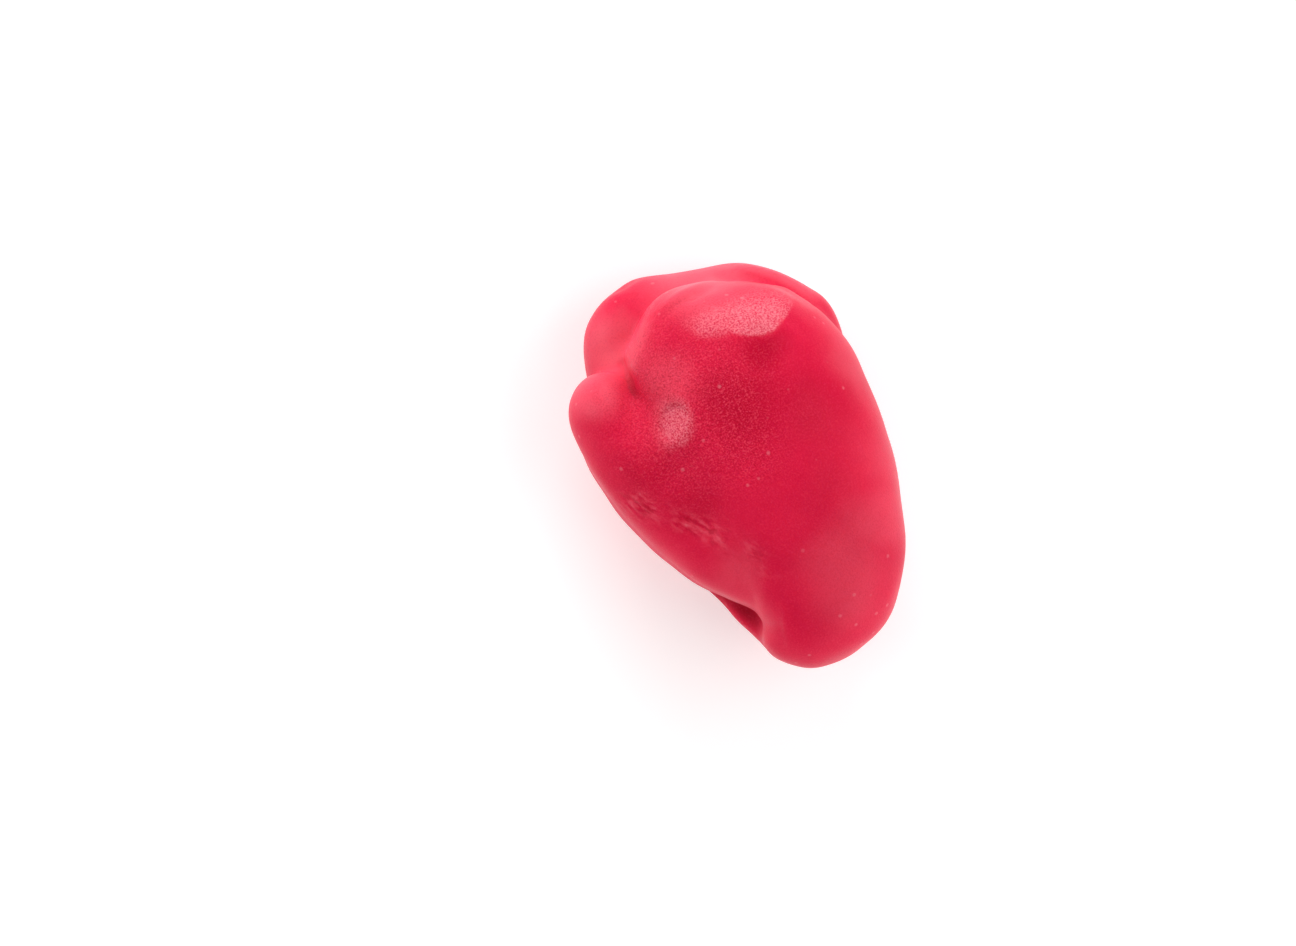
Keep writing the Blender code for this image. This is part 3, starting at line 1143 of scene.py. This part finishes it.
@dataclass(frozen=True)
class SugarPaste:
    """The crimson paste: finely grained and velvety, with smoother patches where it was pressed, and painted
    light, painted shade and painted highlights over its skin.
    """

    deep: Colour = (0.70, 0.007, 0.051, 1.0)
    bright: Colour = (0.77, 0.012, 0.060, 1.0)
    # painted light and painted highlights on the lit patches and small rises
    bloom: Colour = (0.90, 0.110, 0.165, 1.0)
    # painted shade, for the patches where less light falls
    damp: Colour = (0.57, 0.001, 0.032, 1.0)
    # painted shade for the creases under the rolled edge and beside the lip
    painted_crease_shade: Colour = (0.34, 0.001, 0.014, 1.0)
    # painted shade for the pits of the grain and the grooves of the wrinkles
    painted_hollow_shade: Colour = (0.42, 0.001, 0.018, 1.0)
    # painted glint on the crests of the grain
    painted_glint: Colour = (0.92, 0.090, 0.150, 1.0)
    # pale sugar for the specks, and the painted highlight on the pressed patches
    frost_and_highlight: Colour = (0.93, 0.38, 0.45, 1.0)
    roughness: float = 0.36
    crease_shade_roughness: float = 0.9
    pressed_roughness: float = 0.22
    specular: float = 0.08
    subsurface_weight: float = 0.30
    subsurface_radius: Point3 = (1.0, 0.25, 0.2)
    subsurface_scale: float = 0.0010
    mottle_cell: float = 0.004
    mottle_detail: float = 3.0
    mottle_span: Point2 = (0.35, 0.65)
    painted_light_share: float = 0.85
    grain_cell: float = 0.00012
    grain_detail: float = 4.0
    grain_depth: float = 0.00008
    smooth_grain: float = 0.25
    # where shade is painted in the grain's pits, and glints on its crests
    painted_pit_span: Point2 = (0.50, 0.30)
    painted_pit_share: float = 0.65
    painted_glint_span: Point2 = (0.50, 0.72)
    painted_glint_share: float = 0.55
    streak_cell: float = 0.00035
    streak_detail: float = 3.0
    streak_bearing: float = math.radians(-57.0)
    streak_stretch: float = 2.5
    streak_depth: float = 1.2
    # painted shade in the wrinkles' grooves and painted highlight on their crests, from the noise that also
    # bumps them
    painted_streak_shade: Point4 = (0.50, 0.36, 0.0, 0.5)
    painted_streak_highlight: Point4 = (0.50, 0.66, 0.0, 0.5)
    # how the painted highlight on the pressed patches follows the grain
    highlight_paint_span: Point4 = (0.36, 0.64, 0.04, 0.42)
    speck_cell: float = 0.0011
    speck_radius: Point2 = (0.16, 0.08)
    speck_choice: Point2 = (0.55, 0.65)
    speck_share: float = 0.2

    def specks(self, tree: Tree) -> Socket:
        """Picks out a few specks of sugar.

        Args:
            tree: The material's nodes.

        Returns:
            1 on the specks that show, and 0 elsewhere.
        """
        away, random = tree.specks(self.speck_cell)
        return tree.times(tree.span(away, *self.speck_radius), tree.span(random, *self.speck_choice))

    def build(self) -> bpy.types.Material:
        """Makes the material.

        Returns:
            The material.
        """
        material = bpy.data.materials.new("crimson_sugar_paste")
        tree = Tree(material)
        # the pressed patches: smoother, with painted highlights
        pressed = tree.mask(SkinMask.PRESSED_AND_HIGHLIGHT)
        # the mask where shade is painted in the creases
        crease = tree.mask(SkinMask.PAINTED_CREASE_SHADE)
        border = tree.mask(SkinMask.BORDER)
        # where the grain is coarse: deeper bumps, and more painted shade and glints
        coarse = tree.span(tree.mask(SkinMask.GRAIN), 0.0, 1.0, self.smooth_grain, 1.0)
        grain = tree.noise(self.grain_cell, self.grain_detail)
        # painted shade in the grain's pits and painted glints on its crests, from the noise that also bumps
        # the skin
        painted_pits = tree.times(tree.span(grain, *self.painted_pit_span), coarse)
        painted_glints = tree.times(tree.span(grain, *self.painted_glint_span), coarse)
        drawn_out = tree.drawn_out(self.streak_bearing, self.streak_stretch)
        streaks = tree.noise(self.streak_cell, self.streak_detail, drawn_out)
        mottle = tree.span(tree.noise(self.mottle_cell, self.mottle_detail), *self.mottle_span)

        colour = tree.blend(mottle, self.deep, self.bright)
        for factor, top in (
            # painted shade in patches
            (tree.mask(SkinMask.PAINTED_SHADE), self.damp),
            # painted light in patches, and painted highlights on the rises
            (tree.times(tree.mask(SkinMask.PAINTED_LIGHT), self.painted_light_share), self.bloom),
            (crease, self.painted_crease_shade),
            # painted shade in the pits and painted glints on the crests
            (tree.times(painted_pits, self.painted_pit_share), self.painted_hollow_shade),
            (tree.times(painted_glints, self.painted_glint_share), self.painted_glint),
            # painted shade and painted highlight along the wrinkles
            (tree.times(border, tree.span(streaks, *self.painted_streak_shade)), self.painted_hollow_shade),
            (tree.times(border, tree.span(streaks, *self.painted_streak_highlight)), self.bloom),
            # painted highlight on the pressed patches
            (tree.times(pressed, tree.span(grain, *self.highlight_paint_span)), self.frost_and_highlight),
            (tree.times(self.specks(tree), self.speck_share), self.frost_and_highlight),
        ):
            colour = tree.blend(factor, colour, top)

        smoother = tree.span(pressed, 0.0, 1.0, self.roughness, self.pressed_roughness)
        streaked = tree.times(tree.times(streaks, border), self.streak_depth)
        height = tree.math(Operation.ADD, tree.times(grain, coarse), streaked)
        tree.finish(
            Base_Color=colour,
            Roughness=tree.span(crease, 0.0, 1.0, smoother, self.crease_shade_roughness),
            Specular_IOR_Level=self.specular,
            Subsurface_Weight=self.subsurface_weight,
            Subsurface_Radius=self.subsurface_radius,
            Subsurface_Scale=self.subsurface_scale,
            Normal=tree.bump(height, self.grain_depth),
        )
        return material


@dataclass(frozen=True)
class PaleTable:
    """The table's matt white finish, with a slight glow of its own."""

    colour: Colour = (0.93, 0.93, 0.93, 1.0)
    roughness: float = 0.9
    specular: float = 0.1
    glow: float = 0.3

    def build(self) -> bpy.types.Material:
        """Makes the material.

        Returns:
            The material.
        """
        material = bpy.data.materials.new("pale_table")
        Tree(material).finish(
            Base_Color=self.colour,
            Roughness=self.roughness,
            Specular_IOR_Level=self.specular,
            Emission_Color=WHITE,
            Emission_Strength=self.glow,
        )
        return material


# ---------------------------------------------------------------- the studio


@dataclass(frozen=True)
class View:
    """The camera straight above the table, turned about the vertical by an angle in radians."""

    centre: Point2 = (-0.00675, 0.00298)
    level: float = 0.0087
    height: float = 0.5
    frame_width: float = 0.0891
    turn: float = math.radians(-31.4)
    sensor: float = 36.0
    clip_start: float = 0.01
    clip_end: float = 10.0

    @property
    def right(self) -> Vector:
        """The frame's right on the table."""
        return Vector((math.cos(self.turn), math.sin(self.turn), 0.0))

    @property
    def up(self) -> Vector:
        """The frame's top on the table."""
        return Vector((-math.sin(self.turn), math.cos(self.turn), 0.0))

    def build(self) -> bpy.types.Object:
        """Makes the camera and hands it to the scene.

        Returns:
            The camera.
        """
        data = bpy.data.cameras.new("camera")
        data.sensor_width = self.sensor
        data.lens = self.sensor * self.height / self.frame_width
        data.clip_start = self.clip_start
        data.clip_end = self.clip_end
        camera = bpy.data.objects.new("camera", data)
        camera.location = (*self.centre, self.level + self.height)
        camera.rotation_euler = (0.0, 0.0, self.turn)
        bpy.context.scene.collection.objects.link(camera)
        bpy.context.scene.camera = camera
        return camera


@dataclass(frozen=True)
class Softbox:
    """A rectangular lamp: its bearing in the frame, its angle above the table, its size and its brightness.

    Both angles are in degrees, and the size and the distance away are in metres.
    """

    name: str
    bearing: float
    rise: float
    size: Point2
    brightness: float
    away: float = 0.5

    def build(self, view: View, target: Vector) -> bpy.types.Object:
        """Makes the lamp, facing the target.

        Args:
            view: The camera, whose frame the bearing is measured in.
            target: The point that the lamp faces.

        Returns:
            The lamp.
        """
        data = bpy.data.lights.new(self.name, "AREA")
        data.shape = "RECTANGLE"
        data.size, data.size_y = self.size
        data.energy = self.brightness * math.pi * self.size[0] * self.size[1]
        lamp = bpy.data.objects.new(self.name, data)
        bearing = math.radians(self.bearing)
        rise = math.radians(self.rise)
        level = view.right * math.cos(bearing) + view.up * math.sin(bearing)
        lamp.location = target + self.away * (level * math.cos(rise) + Vector((0.0, 0.0, math.sin(rise))))
        lamp.rotation_euler = (target - lamp.location).to_track_quat("-Z", "Y").to_euler()
        bpy.context.scene.collection.objects.link(lamp)
        return lamp


@dataclass(frozen=True)
class Studio:
    """The pale table and its soft light."""

    table_size: float = 4.0
    world_strength: float = 0.40
    table_finish: PaleTable = field(default_factory=PaleTable)
    view: View = field(default_factory=View)
    lamps: tuple[Softbox, ...] = (
        Softbox("back", 94.0, 19.0, (0.30, 0.20), 7.6),
        Softbox("back_left", 166.0, 15.0, (0.26, 0.12), 9.5),
        Softbox("right_high", 0.0, 45.0, (0.50, 0.50), 1.4),
        Softbox("front_right", 300.0, 15.0, (0.45, 0.25), 1.8),
    )

    def table(self) -> bpy.types.Object:
        """Lays a large pale sheet under the lump.

        Returns:
            The sheet.
        """
        mesh = bpy.data.meshes.new("table")
        shape = bmesh.new()
        bmesh.ops.create_grid(shape, x_segments=1, y_segments=1, size=self.table_size / 2.0)
        shape.to_mesh(mesh)
        shape.free()
        mesh.materials.append(self.table_finish.build())
        table = bpy.data.objects.new("table", mesh)
        bpy.context.scene.collection.objects.link(table)
        return table

    def air(self) -> None:
        """Sets the even light of the room, and plain colour in the picture."""
        world = bpy.data.worlds.new("room")
        world.use_nodes = True
        background = world.node_tree.nodes["Background"]
        background.inputs["Color"].default_value = WHITE
        background.inputs["Strength"].default_value = self.world_strength
        bpy.context.scene.world = world
        bpy.context.scene.view_settings.view_transform = "Standard"
        bpy.context.scene.view_settings.look = "None"

    def build(self) -> None:
        """Sets up the camera, the table, the room's light and the lamps."""
        self.view.build()
        self.table()
        self.air()
        target = Vector((0.0, 0.0, self.view.level))
        for lamp in self.lamps:
            lamp.build(self.view, target)


def main() -> None:
    """Builds the lump and the studio, and reports each piece."""
    logging.basicConfig(level=logging.INFO, format="%(message)s")
    Studio().build()
    lump = Candy().build()
    lump.data.materials.append(SugarPaste().build())
    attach(lump, BODY)
    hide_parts(NODE)
    log.info("%s: %d faces", lump.name, len(lump.data.polygons))


if __name__ == "__main__":
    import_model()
    main()
